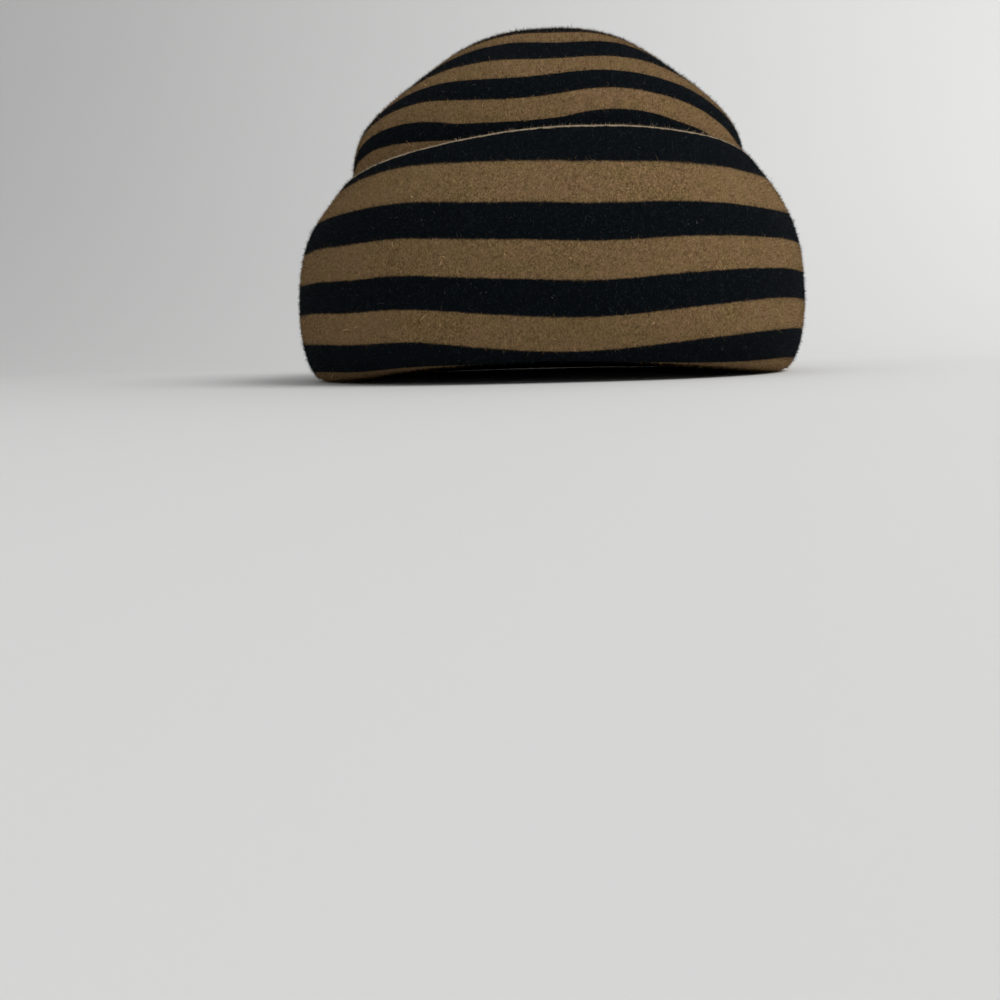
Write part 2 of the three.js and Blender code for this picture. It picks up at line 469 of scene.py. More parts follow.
give_thickness(felt, FELT_THICKNESS, crease=RIM_CREASE)
wall_points = points_of(felt)
wall_points[:, 2] = np.maximum(wall_points[:, 2], 0)
wall_points[:, :2] -= (wall_points[:, :2].min(0) + wall_points[:, :2].max(0)) / 2
move_points(felt, wall_points)
LAYER = RINGS * AROUND + 1
layers = [wall_points[:LAYER], wall_points[LAYER:2 * LAYER]]
crown_layer = int(layers[1][-1, 2] > layers[0][-1, 2])
print("wall points:", len(wall_points), "the crown's outer face is layer", crown_layer)

# %% Stripe numbers
CROWN_BORDERS = [0, 11.5, 23.5, 35.5, 47, 58.5, 70.5, 86.5, 97.5, 106.8, 115.4, 121, 135]
BRIM_BORDERS = [-51, -39, -26, -14.3, -3.3, 7.9, 19.9, 32, 47, 66]
FIRST_BRIM_NUMBER = 16
CROWN_TO_BRIM_SECTIONS = 2
INSIDE_BELOW = FIRST_BRIM_NUMBER + 0.5
DRIFTS = table("drift face angle spread at reach move", [
    ("climb at one side", "crown", -72, 55, 123, 57, 15.3),
    ("kink in front", "crown", -8, 28, 105, 60, -3.7),
    ("dip in front", "brim", 5, 38, -40, 110, 4.9),
    ("sag at one side", "brim", 50, 60, 45, 45, 4.2),
    ("lift below it", "brim", 80, 60, -20, 40, -1.8),
])
SIDE_RISE = dict(spread=100, move=-1.4, more_per_mm=-0.092)
SIDE_TILT = -0.4
SLOW_WANDER = dict(across=42, share=0.1)


def numbers_at(distance, borders, first):
    """Stripe numbers by distance along the felt, where each border is a whole number."""
    whole = first + np.arange(len(borders))
    before = first + (distance - borders[0]) / (borders[1] - borders[0])
    after = whole[-1] + (distance - borders[-1]) / (borders[-1] - borders[-2])
    inside = np.interp(distance, borders, whole)
    return np.where(distance < borders[0], before, np.where(distance > borders[-1], after, inside))


def stripe_numbers(layer):
    """For one face of the felt: stripe numbers, and millimetres from the cut edge."""
    rings = layer[:-1].reshape(RINGS, AROUND, 3)
    tip = np.repeat(layer[-1:], AROUND, 0)[None]
    rows = np.concatenate([rings, tip]) / MM
    steps = np.linalg.norm(np.diff(rows, axis=0), axis=2)
    from_edge = np.concatenate([np.zeros((1, AROUND)), np.cumsum(steps, 0)])
    from_tip = from_edge[-1] - from_edge
    angle = angle_round[:AROUND]
    bulge = int(np.argmin(np.abs(STOPS - SECTION_NUMBER["brim bulge"])))
    bulge_rise = rows[bulge, :, 2] - SECTIONS[SECTION_NUMBER["brim bulge"]]["height"]
    on_brim = from_edge[bulge] - from_edge + bulge_rise
    aside = 1 - hump(turn_between(angle, 0) / SIDE_RISE["spread"])
    rise = aside * np.minimum(SIDE_RISE["move"] + SIDE_RISE["more_per_mm"] * on_brim, 0)
    rise += SIDE_TILT * np.sin(np.radians(angle))
    distance = {"crown": from_tip, "brim": on_brim}
    drift = {"crown": np.zeros_like(from_tip), "brim": rise}
    for row in DRIFTS:
        share = hump(turn_between(angle, row["angle"]) / row["spread"])
        share = share * hump((distance[row["face"]] - row["at"]) / row["reach"])
        drift[row["face"]] += share * row["move"]
    crown = numbers_at(from_tip + drift["crown"], CROWN_BORDERS, 0)
    brim = numbers_at(on_brim + drift["brim"], BRIM_BORDERS, FIRST_BRIM_NUMBER)
    share = np.clip((STOPS - SECTION_NUMBER["crown side"]) / CROWN_TO_BRIM_SECTIONS, 0, 1)[:, None]
    number = (1 - share) * crown + share * brim
    wander = [noise.noise(Vector(point) / SLOW_WANDER["across"]) for point in rows.reshape(-1, 3)]
    number += SLOW_WANDER["share"] * np.array(wander).reshape(number.shape)
    return [np.append(values[:-1].ravel(), values[-1, 0]) for values in (number, from_edge)]


def keep_values(piece, name, values):
    attribute = piece.data.attributes.new(name, "FLOAT", "POINT")
    attribute.data.foreach_set("value", np.asarray(values, np.float32))


def values_of(piece, name):
    found = np.empty(len(piece.data.vertices), np.float32)
    piece.data.attributes[name].data.foreach_get("value", found)
    return found


by_layer = [stripe_numbers(layer) for layer in layers]
brim_face = [np.zeros(LAYER), np.zeros(LAYER)]
brim_face[1 - crown_layer][:] = 1
inside = [face * (rows[0] < INSIDE_BELOW) for face, rows in zip(brim_face, by_layer)]
keep_values(felt, "stripe", np.concatenate([rows[0] for rows in by_layer]))
keep_values(felt, "from_edge", np.concatenate([rows[1] for rows in by_layer]))
keep_values(felt, "brim_face", np.concatenate(brim_face))
keep_values(felt, "inside", np.concatenate(inside))
numbers = values_of(felt, "stripe")
print("stripe numbers:", round(float(numbers.min()), 2), "to", round(float(numbers.max()), 2))

# %% [markdown]
# One subdivision rounds the rings. Real felt is never quite even, so the fine mesh is then nudged
# in and out by slow noise, a few tenths of a millimetre: enough for the light to find, and less
# than the gap between brim and crown.

# %% Fine rings and soft lumps
LUMPS = [dict(across=31, height=0.34), dict(across=11, height=0.13)]
LUMPS_FULL_AT = 3


def subdivide(piece, levels):
    smooth = piece.modifiers.new("fine", "SUBSURF")
    smooth.levels = smooth.render_levels = levels
    apply_modifiers(piece)


def point_normals(piece):
    found = np.empty(len(piece.data.vertices) * 3, np.float32)
    piece.data.vertex_normals.foreach_get("vector", found)
    return found.reshape(-1, 3)


def add_lumps(piece):
    points = points_of(piece)
    push = np.zeros(len(points))
    for row in LUMPS:
        scale = 1 / (row["across"] * MM)
        push += row["height"] * MM * np.array([noise.noise(Vector(point) * scale) for point in points])
    fade = np.clip(points[:, 2] / (LUMPS_FULL_AT * MM), 0, 1)
    points += point_normals(piece) * (push * fade)[:, None]
    points[:, 2] = np.maximum(points[:, 2], 0)
    move_points(piece, points)


subdivide(felt, 1)
add_lumps(felt)
bpy.ops.object.shade_smooth()
print("felt:", len(felt.data.polygons), "faces,", [round(v / MM, 1) for v in felt.dimensions], "mm")

# %% [markdown]
# ## The felt's finish
# Close to, felt is a mat of short wool fibres. From a metre away they show as small flecks that run
# mostly up and down, with a slow mottling under them, and the camel wool is rosier or yellower from
# patch to patch. The same effect is wanted on the fibres, the ribbon's thread and the label, so it
# is a node group: stretched noise for the flecks, broad noise for the mottling, and one more for
# the hue. The stripes come from the stripe number. The sine of pi times it changes sign at every
# border, and a narrow ramp round zero is a border with a soft edge.

# %% Group: wool flecks
FLECK_SWAY = 0.0028
FLECK_RISE, GRIT_RISE = 0.7, 0.5


def make_flecks_group():
    group, entry, result = new_group(
        "wool_flecks",
        inputs=("Fleck Width mm", "Fleck Length mm", "Mottle mm"),
        outputs=("Fleck", "Mottle", "Rosy", "Height"),
    )
    spot = add_node(group, "ShaderNodeTexCoord")
    thin = math_node(group, "DIVIDE", 1 / MM, entry.outputs["Fleck Width mm"])
    long = math_node(group, "DIVIDE", 1 / MM, entry.outputs["Fleck Length mm"])
    broad = math_node(group, "DIVIDE", 1 / MM, entry.outputs["Mottle mm"])
    stretch = add_node(group, "ShaderNodeCombineXYZ")
    join(group, (thin, stretch.inputs[0]), (thin, stretch.inputs[1]), (long, stretch.inputs[2]))
    bend = add_node(group, "ShaderNodeTexNoise", {"Scale": 260.0, "Detail": 1.0})
    sway = add_node(group, "ShaderNodeVectorMath", operation="MULTIPLY_ADD")
    sway.inputs[1].default_value = (FLECK_SWAY,) * 3
    scaled = add_node(group, "ShaderNodeVectorMath", operation="MULTIPLY")
    flecks = add_node(group, "ShaderNodeTexNoise", {"Scale": 1.0, "Detail": 3.0, "Roughness": 0.62})
    slow = add_node(group, "ShaderNodeTexNoise", {"Detail": 3.0, "Roughness": 0.5})
    fine = add_node(group, "ShaderNodeTexNoise", {"Scale": 2300.0, "Detail": 2.0, "Roughness": 0.6})
    hue = add_node(group, "ShaderNodeTexNoise", {"Scale": 150.0, "Detail": 4.0, "Roughness": 0.7})
    join(
        group,
        (spot.outputs["Object"], bend.inputs["Vector"]),
        (bend.outputs["Color"], sway.inputs[0]),
        (spot.outputs["Object"], sway.inputs[2]),
        (sway.outputs[0], scaled.inputs[0]),
        (stretch.outputs[0], scaled.inputs[1]),
        (scaled.outputs[0], flecks.inputs["Vector"]),
        (spot.outputs["Object"], slow.inputs["Vector"]),
        (broad, slow.inputs["Scale"]),
        (spot.outputs["Object"], fine.inputs["Vector"]),
        (spot.outputs["Object"], hue.inputs["Vector"]),
    )
    sharp = add_node(group, "ShaderNodeMapRange", {"From Min": 0.33, "From Max": 0.67})
    rosy = add_node(group, "ShaderNodeMapRange", {"From Min": 0.36, "From Max": 0.64})
    grit = math_node(group, "MULTIPLY", fine.outputs["Fac"], GRIT_RISE)
    height = math_node(group, "MULTIPLY_ADD", flecks.outputs["Fac"], FLECK_RISE, grit)
    join(
        group,
        (flecks.outputs["Fac"], sharp.inputs["Value"]),
        (hue.outputs["Fac"], rosy.inputs["Value"]),
        (sharp.outputs["Result"], result.inputs["Fleck"]),
        (slow.outputs["Fac"], result.inputs["Mottle"]),
        (rosy.outputs["Result"], result.inputs["Rosy"]),
        (height, result.inputs["Height"]),
    )
    return group


def add_flecks(tree, width, length, mottle=9.0):
    """Places the group in a material, with its sizes in millimetres."""
    sizes = {"Fleck Width mm": width, "Fleck Length mm": length, "Mottle mm": mottle}
    return add_node(tree, "ShaderNodeGroup", sizes, node_tree=flecks_group)


def add_bump(tree, shader, flecks, strength, rise):
    """Lets the flecks' height tilt the shading. The rise is in millimetres."""
    bump = add_node(tree, "ShaderNodeBump", {"Strength": strength, "Distance": rise * MM})
    join(
        tree,
        (flecks.outputs["Height"], bump.inputs["Height"]),
        (bump.outputs["Normal"], shader.inputs["Normal"]),
    )


flecks_group = make_flecks_group()
print("group:", flecks_group.name)

# %% Colours of the wool
CAMEL_LIGHT = (0.318, 0.211, 0.105)
CAMEL_DARK = (0.092, 0.054, 0.022)
CAMEL_PATCH = (0.230, 0.146, 0.075)
BLACK = (0.0036, 0.0052, 0.0068)
BLACK_LIGHT = (0.0138, 0.0172, 0.0208)
CUT_EDGE = (0.40, 0.315, 0.215)
YELLOWER, ROSIER = (0.985, 1.003, 0.91), (1.04, 0.992, 1.035)
EDGE_BAND = 0.9


def mix_colours(tree, share, first, second):
    node = add_node(tree, "ShaderNodeMix", data_type="RGBA")
    tree.links.new(share, node.inputs[0])
    for entry, value in ((node.inputs[6], first), (node.inputs[7], second)):
        if isinstance(value, bpy.types.NodeSocket):
            tree.links.new(value, entry)
        else:
            entry.default_value = (*value, 1)
    return node.outputs[2]


def patchy_hue(tree, colour, rosy):
    """A colour that turns yellower or rosier from patch to patch."""
    node = add_node(tree, "ShaderNodeVectorMath", operation="MULTIPLY")
    join(tree, (colour, node.inputs[0]), (mix_colours(tree, rosy, YELLOWER, ROSIER), node.inputs[1]))
    return node.outputs[0]


def read_value(tree, name):
    return add_node(tree, "ShaderNodeAttribute", attribute_name=name).outputs["Fac"]


def ramp(tree, value, low, high):
    node = add_node(tree, "ShaderNodeMapRange", {"From Min": low, "From Max": high})
    node.interpolation_type = "SMOOTHSTEP"
    tree.links.new(value, node.inputs["Value"])
    return node.outputs["Result"]


print("camel", CAMEL_DARK, "to", CAMEL_LIGHT, "black", BLACK, "to", BLACK_LIGHT)

# %% The striped felt
BORDER_BLUR, BORDER_WANDER = 0.12, 0.085
EDGE_RAGGED, EDGE_FADE = 1.8, 0.4
PATCH_SHARE = 0.4
material, tree, shader = new_material("striped_felt", Roughness=1.0, Specular_IOR_Level=0.03)
flecks = add_flecks(tree, width=0.5, length=0.9, mottle=30.0)
spot = add_node(tree, "ShaderNodeTexCoord")
waver = add_node(tree, "ShaderNodeTexNoise", {"Scale": 330.0, "Detail": 4.0, "Roughness": 0.78})
join(tree, (spot.outputs["Object"], waver.inputs["Vector"]))
wander = math_node(tree, "MULTIPLY_ADD", waver.outputs["Fac"], BORDER_WANDER, -BORDER_WANDER / 2)
number = math_node(tree, "ADD", read_value(tree, "stripe"), wander)
wave = math_node(tree, "SINE", math_node(tree, "MULTIPLY", number, math.pi))
outside = math_node(tree, "SUBTRACT", 1.0, read_value(tree, "inside"))
camel_share = math_node(tree, "MULTIPLY", ramp(tree, wave, BORDER_BLUR, -BORDER_BLUR), outside)
camel = mix_colours(tree, flecks.outputs["Fleck"], CAMEL_DARK, CAMEL_LIGHT)
patch = math_node(tree, "MULTIPLY", ramp(tree, flecks.outputs["Mottle"], 0.35, 0.65), PATCH_SHARE)
camel = patchy_hue(tree, mix_colours(tree, patch, camel, CAMEL_PATCH), flecks.outputs["Rosy"])
lint = ramp(tree, flecks.outputs["Fleck"], 0.72, 1.0)
black = mix_colours(tree, lint, BLACK, BLACK_LIGHT)
striped = mix_colours(tree, camel_share, black, camel)
ragged = math_node(tree, "MULTIPLY_ADD", waver.outputs["Fac"], EDGE_RAGGED, -EDGE_RAGGED / 2)
from_edge = math_node(tree, "ADD", read_value(tree, "from_edge"), ragged)
edge = ramp(tree, from_edge, EDGE_BAND, EDGE_BAND * EDGE_FADE)
join(tree, (mix_colours(tree, edge, striped, CUT_EDGE), shader.inputs["Base Color"]))
add_bump(tree, shader, flecks, strength=0.55, rise=0.35)
felt.data.materials.append(material)
print("finish:", material.name, "with", len(tree.nodes), "nodes")

# %% [markdown]
# ## The nap
# What makes felt look soft is the fuzz of fibres that stand out of it and blur its outline. Hair
# particles would not survive the export, so the nap is real geometry: many thin tapering blades of
# one or three triangles, rooted at random places on the felt and leaning mostly along it. Each takes the
# colour of the stripe at its root, so the borders turn slightly ragged as they are on the hat.
# Arrays make them all at once, and the seed is fixed, so that every run gives the same hat.


# %% Random roots on the felt
def felt_triangles(piece):
    """The felt's triangles: corner numbers and areas."""
    mesh = piece.data
    mesh.calc_loop_triangles()
    corners = np.empty(len(mesh.loop_triangles) * 3, np.int32)
    mesh.loop_triangles.foreach_get("vertices", corners)
    area = np.empty(len(mesh.loop_triangles), np.float32)
    mesh.loop_triangles.foreach_get("area", area)
    return corners.reshape(-1, 3), area.astype(float)


def random_roots(piece, wanted, count, rng):
    """Random places on the faces that `wanted` keeps, each with its normal and the felt's values there."""
    corners, area = felt_triangles(piece)
    values = {name: values_of(piece, name) for name in ("stripe", "from_edge", "brim_face", "inside")}
    values["height"] = points_of(piece)[:, 2]
    chance = area * wanted(**{name: found[corners].mean(1) for name, found in values.items()})
    chosen = corners[rng.choice(len(corners), count, p=chance / chance.sum())]
    share = rng.dirichlet((1, 1, 1), count)
    roots = {name: (share * found[chosen]).sum(1) for name, found in values.items()}
    roots["place"] = np.einsum("fc,fcx->fx", share, points_of(piece)[chosen])
    normal = np.einsum("fc,fcx->fx", share, point_normals(piece)[chosen])
    roots["normal"] = normal / np.linalg.norm(normal, axis=1, keepdims=True)
    return roots


print("felt area, cm2:", round(felt_triangles(felt)[1].sum() * 1e4))

# %% Fibres as one mesh
SUNK = 0.05 * MM
DOWN_SPREAD, TURN_SPREAD, SWAY_SPREAD = 0.15, 1.3, 0.45
ROOT_SHARE, TIP_SHARE = 0.55, 0.45
MIDDLE_WIDTH = 0.8


def lean_along(normal, rng):
    """For each fibre, a way to lean along the felt, more often up or down it, and the way across."""
    count = len(normal)
    down = np.array([0, 0, -1.0]) + DOWN_SPREAD * rng.normal(size=normal.shape)
    nap = down - normal * (normal * down).sum(1)[:, None]
    nap /= np.linalg.norm(nap, axis=1, keepdims=True)
    turn = (rng.normal(0, TURN_SPREAD, count) + np.pi * rng.integers(0, 2, count))[:, None]
    lean = nap * np.cos(turn) + np.cross(normal, nap) * np.sin(turn)
    return lean, np.cross(lean, normal)


def slope(lean, normal, angle):
    return lean * np.cos(angle)[:, None] + normal * np.sin(angle)[:, None]


def bent_fibres(name, roots, colour, length, width, lift, droop, rng):
    """Tapering fibres of three triangles. lift and droop are the slopes at the root and at the tip."""
    normal = roots["normal"]
    lean, beside = lean_along(normal, rng)
    start = roots["place"] - normal * SUNK
    middle = start + slope(lean, normal, lift) * (length * ROOT_SHARE)[:, None]
    sway = beside * rng.normal(0, SWAY_SPREAD, len(start))[:, None]
    tip = middle + (slope(lean, normal, droop) + sway) * (length * TIP_SHARE)[:, None]
    half = beside * (width / 2)[:, None]
    narrow = half * MIDDLE_WIDTH
    corners = np.stack([start - half, start + half, middle + narrow, middle - narrow, tip], 1)
    return fibre_piece(name, corners, [[0, 1, 2], [0, 2, 3], [3, 2, 4]], colour)


def short_fuzz(name, roots, colour, length, width, lift, rng):
    """Straight fibres of one triangle."""
    normal = roots["normal"]
    lean, beside = lean_along(normal, rng)
    start = roots["place"] - normal * SUNK
    half = beside * (width / 2)[:, None]
    tip = start + slope(lean, normal, lift) * length[:, None]
    return fibre_piece(name, np.stack([start - half, start + half, tip], 1), [[0, 1, 2]], colour)


def fibre_piece(name, corners, triangles, colour):
    """One mesh of all the fibres. corners: for each fibre its points; triangles: one fibre's faces."""
    count, each = corners.shape[:2]
    corners[..., 2] = np.maximum(corners[..., 2], SUNK)
    faces = np.array(triangles)[None] + each * np.arange(count)[:, None, None]
    mesh = bpy.data.meshes.new(name)
    mesh.from_pydata(corners.reshape(-1, 3).tolist(), [], faces.reshape(-1, 3).tolist())
    wool = np.c_[np.repeat(colour, each, 0), np.ones(count * each)].astype(np.float32)
    mesh.color_attributes.new("wool", "FLOAT_COLOR", "POINT").data.foreach_set("color", wool.ravel())
    mesh.materials.append(wool_fibre)
    piece = bpy.data.objects.new(name, mesh)
    bpy.context.scene.collection.objects.link(piece)
    return piece


print("fibres are sunk by", SUNK / MM, "mm")


# %% Colours of the fibres
BORDER_SHARE, BORDER_SHADE, BORDER_RAGGED = 0.3, 0.45, 0.03
SHADE_SPREAD = (1.2, 2.6)
CAMEL_BRIGHTEST, CAMEL_POWER = 2.2, 1.45
BLACK_BRIGHTEST, BLACK_POWER = 4.3, 2
EDGE_SHADE, EDGE_MORE = 0.75, 0.5


def shades_between(dark, light, share):
    return np.array(dark) + (np.array(light) - np.array(dark)) * share


def wool_colours(roots, rng):
    """Camel or black by the stripe at the root, each fibre in its own shade, camel darker at borders."""
    count = len(roots["stripe"])
    ragged = roots["stripe"] + rng.normal(0, BORDER_RAGGED, count)
    camel = (np.sin(np.pi * ragged) < 0) & (roots["inside"] < 0.5)
    shade = rng.beta(*SHADE_SPREAD, count)[:, None]
    on_camel = shades_between(CAMEL_DARK, np.array(CAMEL_LIGHT) * CAMEL_BRIGHTEST, shade**CAMEL_POWER)
    on_black = shades_between(BLACK, np.array(BLACK_LIGHT) * BLACK_BRIGHTEST, shade**BLACK_POWER)
    on_edge = np.array(CUT_EDGE) * (EDGE_SHADE + EDGE_MORE * shade)
    near = np.clip(np.abs(np.sin(np.pi * roots["stripe"])) / BORDER_SHARE, BORDER_SHADE, 1)[:, None]
    colour = np.where(camel[:, None], on_camel * near, on_black)
    return np.where((roots["from_edge"] < EDGE_BAND)[:, None], on_edge, colour)


def wool_finish(name):
    material, tree, shader = new_material(name, Roughness=1.0, Specular_IOR_Level=0.03)
    wool = add_node(tree, "ShaderNodeAttribute", attribute_name="wool")
    flecks = add_flecks(tree, width=0.3, length=0.9)
    shade = add_node(tree, "ShaderNodeMapRange", {"To Min": 0.82, "To Max": 1.12})
    tinted = add_node(tree, "ShaderNodeVectorMath", operation="SCALE")
    join(
        tree,
        (flecks.outputs["Fleck"], shade.inputs["Value"]),
        (wool.outputs["Color"], tinted.inputs[0]),
        (shade.outputs["Result"], tinted.inputs["Scale"]),
        (patchy_hue(tree, tinted.outputs[0], flecks.outputs["Rosy"]), shader.inputs["Base Color"]),
    )
    return material


wool_fibre = wool_finish("wool_fibre")
print("finish:", wool_fibre.name)

# %% Where the nap grows
BRIM_NAP_ENDS = 113
NAP_LOWEST, CROWN_NAP_LOWEST = 1.2 * MM, 62 * MM
FACE_SPLIT = 0.4


def on_brim(brim_face, from_edge, height, **_):
    return (brim_face > FACE_SPLIT) & (from_edge < BRIM_NAP_ENDS) & (height > NAP_LOWEST)


def on_crown(brim_face, from_edge, height, **_):
    return (brim_face < FACE_SPLIT) & (from_edge > BRIM_NAP_ENDS) & (height > CROWN_NAP_LOWEST)


def on_both(**values):
    return on_brim(**values) | on_crown(**values)


def on_cut_edge(from_edge, **_):
    return from_edge < EDGE_BAND


print("nap grows from the edge to", BRIM_NAP_ENDS, "mm down the brim, and on the crown")

# %% Lying nap and standing fuzz
NAP = dict(count=64000, length=(0.8, 2.3), width=(0.06, 0.11), lift=(0.10, 0.45), droop=(-0.12, 0.22))
FUZZ = dict(shortest=0.4, longer=1.6, spread=(1.3, 2.6), width=(0.09, 0.15), lift=(0.6, 1.5))
FUZZ_FIBRES, EDGE_FIBRES = 140000, 5000


def draw_sizes(row, rng):
    """Random lengths, widths and slopes between the ends that the row gives, one for each fibre."""
    sizes = {name: rng.uniform(*row[name], row["count"]) for name in ("length", "width", "lift", "droop")}
    for name in ("length", "width"):
        sizes[name] = sizes[name] * MM
    return sizes


def add_nap(name, wanted, seed):
    rng = np.random.default_rng(seed)
    roots = random_roots(felt, wanted, NAP["count"], rng)
    sizes = draw_sizes(NAP, rng)
    return bent_fibres(name, roots, wool_colours(roots, rng), rng=rng, **sizes)


def add_fuzz(name, wanted, count, seed):
    rng = np.random.default_rng(seed)
    roots = random_roots(felt, wanted, count, rng)
    length = (FUZZ["shortest"] + FUZZ["longer"] * rng.beta(*FUZZ["spread"], count)) * MM
    width = rng.uniform(*FUZZ["width"], count) * MM
    lift = rng.uniform(*FUZZ["lift"], count)
    return short_fuzz(name, roots, wool_colours(roots, rng), length, width, lift, rng)


nap_pieces = [
    add_nap("brim_nap", on_brim, seed=11),
    add_nap("crown_nap", on_crown, seed=12),
    add_fuzz("brim_fuzz", on_brim, FUZZ_FIBRES, seed=13),
    add_fuzz("crown_fuzz", on_crown, FUZZ_FIBRES, seed=14),
    add_fuzz("edge_fuzz", on_cut_edge, EDGE_FIBRES, seed=15),
]
print("nap:", {piece.name: len(piece.data.polygons) for piece in nap_pieces})

# %% Longer stray hairs and pale lint
STRAYS = dict(count=16000, length=(0.9, 3.1), width=(0.09, 0.17), lift=(0.3, 1.3), droop=(-0.3, 1.0))
STRAY_SHADES = dict(left=0.3, mode=0.45, right=2.2)
LINT = dict(count=600, length=(0.3, 1.3), width=(0.07, 0.14), lift=(0.0, 0.5), droop=(-0.2, 0.5))
LINT_SHADES, LINT_TINT = (0.05, 0.28), (1.0, 0.98, 0.93)
LINT_RAISED = 4


def add_strays(seed):
    rng = np.random.default_rng(seed)
    roots = random_roots(felt, on_both, STRAYS["count"], rng)
    sizes = draw_sizes(STRAYS, rng)
    colour = wool_colours(roots, rng)
    colour = colour * rng.triangular(**STRAY_SHADES, size=STRAYS["count"])[:, None]
    return bent_fibres("stray_hairs", roots, colour, rng=rng, **sizes)


def add_lint(seed):
    rng = np.random.default_rng(seed)
    roots = random_roots(felt, on_both, LINT["count"], rng)
    roots["place"] += roots["normal"] * LINT_RAISED * SUNK
    colour = rng.uniform(*LINT_SHADES, LINT["count"])[:, None] * np.array(LINT_TINT)
    sizes = draw_sizes(LINT, rng)
    return bent_fibres("lint", roots, colour, rng=rng, **sizes)


nap_pieces += [add_strays(seed=21), add_lint(seed=22)]
print("loose fibres:", {piece.name: len(piece.data.polygons) for piece in nap_pieces[-2:]})

# %% [markdown]
# ## The sweatband
# Inside the head opening a black ribbon keeps the felt from stretching. It is a ring that is
# extruded upward and laid against the felt: from the middle of the hat a ray is sent out at each
# point's height, and the ribbon stops a little short of where the ray meets the wool. Every second
# column is pulled in by a hair, which makes the fine upright ribs of a woven ribbon.

# %% Ribbon
RIBBON = dict(thickness=0.9, seat=0.3, ribs=560, rows=6, rib_depth=0.06, start_radius=0.08)
felt_tree = BVHTree.FromObject(felt, bpy.context.evaluated_depsgraph_get())


def on_wall(angle, height, distance):
    """A place inside the crown, at a distance from the felt's inner face."""
    out = Vector((math.sin(angle), -math.cos(angle), 0))
    start = Vector((0, 0, height))
    hit, normal, _, _ = felt_tree.ray_cast(start, out)
    toward = -out if normal is None else normal * (-1 if normal.dot(out) > 0 else 1)
    return hit + toward * distance


def add_ribbon():
    low, high = (corner.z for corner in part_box("sweatband"))
    columns = RIBBON["ribs"] * 2
    bpy.ops.object.select_all(action="DESELECT")
    bpy.ops.mesh.primitive_circle_add(vertices=columns, radius=RIBBON["start_radius"], fill_type="NOTHING")
    piece = bpy.context.object
    piece.location.z = low
    bpy.ops.object.transform_apply(location=True)
    bpy.ops.object.mode_set(mode="EDIT")
    bpy.ops.mesh.select_all(action="SELECT")
    rise = (high - low) / RIBBON["rows"]
    for _ in range(RIBBON["rows"]):
        bpy.ops.mesh.extrude_region_move(TRANSFORM_OT_translate={"value": (0, 0, rise)})
    bpy.ops.object.mode_set(mode="OBJECT")
    points = points_of(piece)
    middle = RIBBON["seat"] + RIBBON["thickness"] / 2 + RIBBON["rib_depth"]
    turn = np.arctan2(points[:, 0], -points[:, 1])
    column = np.rint(np.mod(turn, 2 * np.pi) * columns / (2 * np.pi)).astype(int)
    distance = (middle + RIBBON["rib_depth"] * np.where(column % 2, 1, -1)) * MM
    laid = [on_wall(a, point[2], d) for a, point, d in zip(turn, points, distance)]
    move_points(piece, np.array(laid))
    return piece


ribbon = add_ribbon()
ribbon.name = "ribbon_sweatband"
settle_order(ribbon)
give_thickness(ribbon, RIBBON["thickness"])
face_outwards()
print("ribbon:", [round(v / MM, 1) for v in ribbon.dimensions], "mm,", len(ribbon.data.polygons), "faces")


# %% The ribbon's finish
def woven_finish(name, dark, light, flecks, bump, **shader_values):
    """Cloth or thread: two shades mixed by the wool flecks, whose height also gives the bump."""
    material, tree, shader = new_material(name, **shader_values)
    grain = add_flecks(tree, **flecks)
    join(tree, (mix_colours(tree, grain.outputs["Fleck"], dark, light), shader.inputs["Base Color"]))
    add_bump(tree, shader, grain, **bump)
    return material


ribbon_cloth = woven_finish(
    "ribbon_cloth",
    dark=(0.0038, 0.0050, 0.0078),
    light=(0.0100, 0.0120, 0.0165),
    flecks=dict(width=0.25, length=3.0, mottle=14.0),
    bump=dict(strength=0.4, rise=0.12),
    Roughness=0.6,
    Specular_IOR_Level=0.14,
)
ribbon.data.materials.append(ribbon_cloth)
print("finish:", ribbon_cloth.name)

# %% [markdown]
# ## The label
# A small pale woven label sits inside the crown at the back. It stays bare. A flat grid is
# laid against the felt in the same way as the ribbon, bowed a little between its stitched ends,
# and given its thickness.

# %% Label
LABEL = dict(angle=-153, width=17, thickness=0.6, seat=0.3, columns=17, rows=24, bow=0.5)


def label_turn(across):
    """The angle of a place on the label, from its millimetres across."""
    low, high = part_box("label")
    reach = math.hypot((low.x + high.x) / 2, (low.y + high.y) / 2)
    return math.radians(LABEL["angle"]) + across * MM / reach


def add_label():
    low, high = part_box("label")
    bpy.ops.object.select_all(action="DESELECT")
    bpy.ops.mesh.primitive_grid_add(x_subdivisions=LABEL["columns"], y_subdivisions=LABEL["rows"], size=2)
    piece = bpy.context.object
    points = points_of(piece)
    turn = label_turn(points[:, 0] * LABEL["width"] / 2)
    height = low.z + (points[:, 1] + 1) / 2 * (high.z - low.z)
    bow = LABEL["bow"] * (1 - points[:, 1] ** 2)
    distance = (LABEL["seat"] + LABEL["thickness"] / 2 + bow) * MM
    laid = [on_wall(a, z, d) for a, z, d in zip(turn, height, distance)]
    move_points(piece, np.array(laid))
    return piece


label = add_label()
label.name = "bare_label"
give_thickness(label, LABEL["thickness"])
face_outwards()
bpy.ops.object.shade_smooth_by_angle(angle=math.radians(50))
print("label:", [round(v / MM, 1) for v in label.dimensions], "mm")

# %% The label's finish
label_cloth = woven_finish(
    "label_cloth",
    dark=(0.150, 0.154, 0.147),
    light=(0.240, 0.245, 0.234),
    flecks=dict(width=0.35, length=0.8, mottle=6.0),
    bump=dict(strength=0.5, rise=0.15),
    Roughness=0.7,
    Specular_IOR_Level=0.3,
)
label.data.materials.append(label_cloth)
print("finish:", label_cloth.name)

